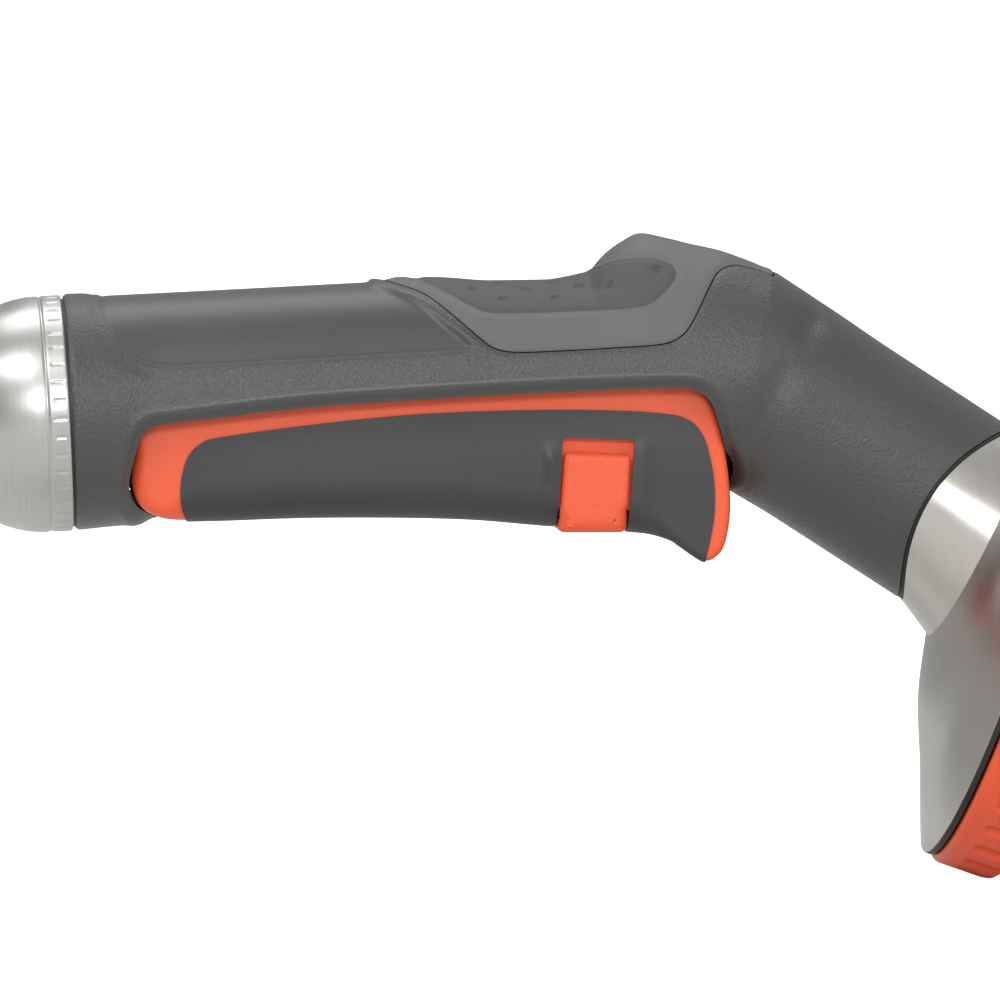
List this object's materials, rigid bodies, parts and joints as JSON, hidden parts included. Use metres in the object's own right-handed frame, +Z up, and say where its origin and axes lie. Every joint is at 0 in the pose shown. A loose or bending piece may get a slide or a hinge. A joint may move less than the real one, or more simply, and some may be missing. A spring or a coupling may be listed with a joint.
{
  "type": "hose spray nozzle",
  "caption": "Trigger hose spray nozzle with a metal collar, a bent grip, a thumb rest, a long squeeze lever with a lock button, and a turning round spray head.",
  "frame": {"origin": "centre of the hose plug's mouth, on the water inlet's axis", "axes": "+X along the grip from the hose plug towards the spray head, +Z up away from the trigger, +Y to the left of someone looking along +X; Y = 0 is the plane of symmetry"},
  "size_m": [0.2155, 0.072, 0.107],
  "materials": {
    "moulded_body": "fine grained moulded plastic",
    "brushed_metal": "brushed",
    "black_seal": "smooth",
    "light_rubber": "satin soft-touch",
    "dark_rubber": "dimpled soft-touch",
    "orange_plastic": "satin moulded plastic",
    "inner_plastic": "smooth moulded plastic",
    "steel": "bright",
    "brass": "turned",
    "face_plastic": "satin moulded plastic"
  },
  "bodies": {
    "handle": {"inlet_plug": "inner_plastic", "inlet_o_ring": "black_seal", "inlet_strainer": "steel", "rear_collar": "brushed_metal", "collar_seal": "black_seal", "thumb_rest": "light_rubber", "thumb_pad": "dark_rubber", "handle_shell_left": "moulded_body", "handle_shell_right": "moulded_body", "shell_screws": "steel", "trigger_pin": "steel", "trigger_spring": "steel", "rear_tube": "inner_plastic", "front_tube": "inner_plastic", "valve_body": "inner_plastic", "valve_seat": "brass", "stem_seal": "black_seal", "valve_cap": "inner_plastic", "valve_spring": "steel", "head_casing": "brushed_metal", "neck_gasket": "black_seal", "head_core": "inner_plastic", "port_seal": "black_seal", "detent_ball": "steel", "detent_spring": "steel", "trim_ring": "black_seal", "face_axle": "steel"},
    "trigger": {"trigger": "orange_plastic", "trigger_pad": "dark_rubber", "lock_spring": "steel"},
    "lock": {"lock_button": "orange_plastic"},
    "valve": {"valve_stem": "steel", "valve_disc": "black_seal"},
    "selector": {"port_plate": "inner_plastic", "spray_face": "face_plastic", "jet_insert": "brass", "selector_ring": "orange_plastic", "centre_cap": "face_plastic"}
  },
  "joints": [
    {"name": "trigger_squeeze", "type": "hinge", "parent": "handle", "child": "trigger", "pos_m": [0.0582, 0, -0.0103], "axis": [0, -1, 0], "range_deg": [0, 5], "stiffness_Nm_per_rad": 2, "springref_deg": -5.73, "deforming": ["trigger_spring"]},
    {"name": "valve_lift", "type": "slide", "parent": "handle", "child": "valve", "axis": [0, 0, 1], "range_m": [0, 0.0046], "deforming": ["valve_spring"]},
    {"name": "lock_push", "type": "slide", "parent": "trigger", "child": "lock", "axis": [0.1564, 0, 0.9877], "range_m": [0, 0.0018], "stiffness_N_per_m": 600, "springref_m": -0.001, "deforming": ["lock_spring"]},
    {"name": "selector_turn", "type": "hinge", "parent": "handle", "child": "selector", "pos_m": [0.19041, 0, -0.04568], "axis": [0.9252, 0, -0.3795], "continuous": true}
  ],
  "couplings": [
    {"joint": "valve_lift", "follows": "trigger_squeeze", "m_per_rad": 0.0498}
  ]
}
